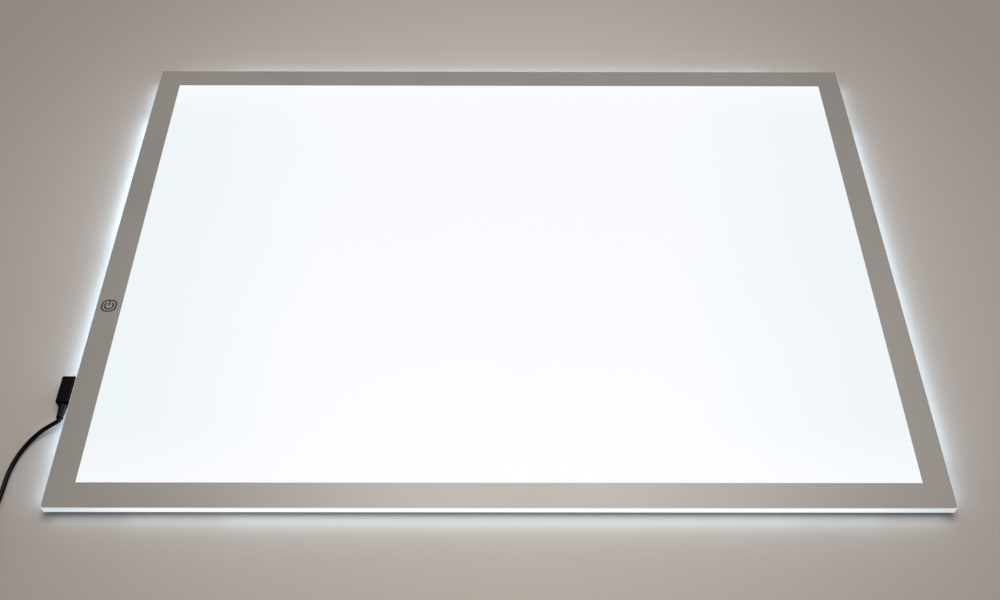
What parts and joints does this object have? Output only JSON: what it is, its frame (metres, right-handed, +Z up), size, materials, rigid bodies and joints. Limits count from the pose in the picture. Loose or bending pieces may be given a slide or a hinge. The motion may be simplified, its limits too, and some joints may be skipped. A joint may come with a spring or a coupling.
{
  "type": "light box",
  "caption": "Slim edge-lit tracing panel with a glowing opal window, printed border with a touch key, clear glowing edge, rubber feet and a right-angle power plug on its lead.",
  "frame": {"origin": "on the table plane under the middle of the panel, at the sole of the centre foot", "axes": "+X along the panel's long side with the power socket on the -X side, +Y to the rear, +Z up out of the lit window"},
  "size_m": [0.6804, 0.5221, 0.0106],
  "materials": {
    "opal_acrylic": "satin, lit from inside",
    "border_film": "satin printed film",
    "icon_ink": "matt ink",
    "diffuser": "matt film",
    "guide_acrylic": "polished, dotted",
    "reflector_white": "matt white",
    "clear_acrylic": "polished, glows when lit",
    "cover_slate": "fine-textured",
    "screw_steel": "plated",
    "foot_rubber": "matt",
    "board_white": "solder mask",
    "led_body": "satin",
    "tape": "matt",
    "wire_red": "satin",
    "board_green": "solder mask",
    "chip_black": "matt",
    "ferrite": "matt",
    "capacitor_tan": "satin",
    "resistor_black": "satin",
    "foam_grey": "open-cell",
    "copper": "foil",
    "socket_black": "satin",
    "nickel": "plated",
    "insulator_black": "satin",
    "plug_black": "satin moulded",
    "cable_black": "satin",
    "tongue_white": "satin",
    "gold": "plated"
  },
  "bodies": {
    "panel": {"top_sheet": "opal_acrylic", "border_overlay": "border_film", "power_icon": "icon_ink", "diffuser_film": "diffuser", "light_guide_plate": "guide_acrylic", "reflector_sheet": "reflector_white", "clear_edge_frame": "clear_acrylic", "back_cover": "cover_slate", "cover_screws": "screw_steel", "rubber_feet": "foot_rubber", "front_led_board": "board_white", "rear_led_board": "board_white", "front_leds": "led_body", "rear_leds": "led_body", "front_board_tape": "tape", "rear_board_tape": "tape", "front_led_wires": "wire_red", "rear_led_wires": "wire_red", "control_board_tape": "tape", "control_board": "board_green", "controller_chip": "chip_black", "power_transistor": "chip_black", "inductor": "ferrite", "capacitors": "capacitor_tan", "resistors": "resistor_black", "touch_foam": "foam_grey", "touch_foil": "copper", "power_socket": "socket_black", "socket_pin": "nickel", "socket_contact": "nickel"},
    "lead": {"plug_sleeve": "nickel", "plug_insulator": "insulator_black", "plug_tip_contact": "nickel", "power_cable": "cable_black", "usb_strain_relief": "plug_black", "usb_moulding": "plug_black", "usb_shell": "nickel", "usb_tongue": "tongue_white", "usb_contacts": "gold"},
    "plug_body": {"plug_moulding": "plug_black", "plug_strain_relief": "plug_black"}
  },
  "joints": [
    {"name": "plug_slide", "type": "slide", "parent": "panel", "child": "lead", "axis": [-1, 0, 0], "range_m": [0, 0.012]},
    {"name": "plug_swivel", "type": "hinge", "parent": "lead", "child": "plug_body", "pos_m": [-0.322, -0.1243, 0.00615], "axis": [-1, 0, 0], "range_deg": [0, 180], "deforming": ["power_cable"]}
  ]
}
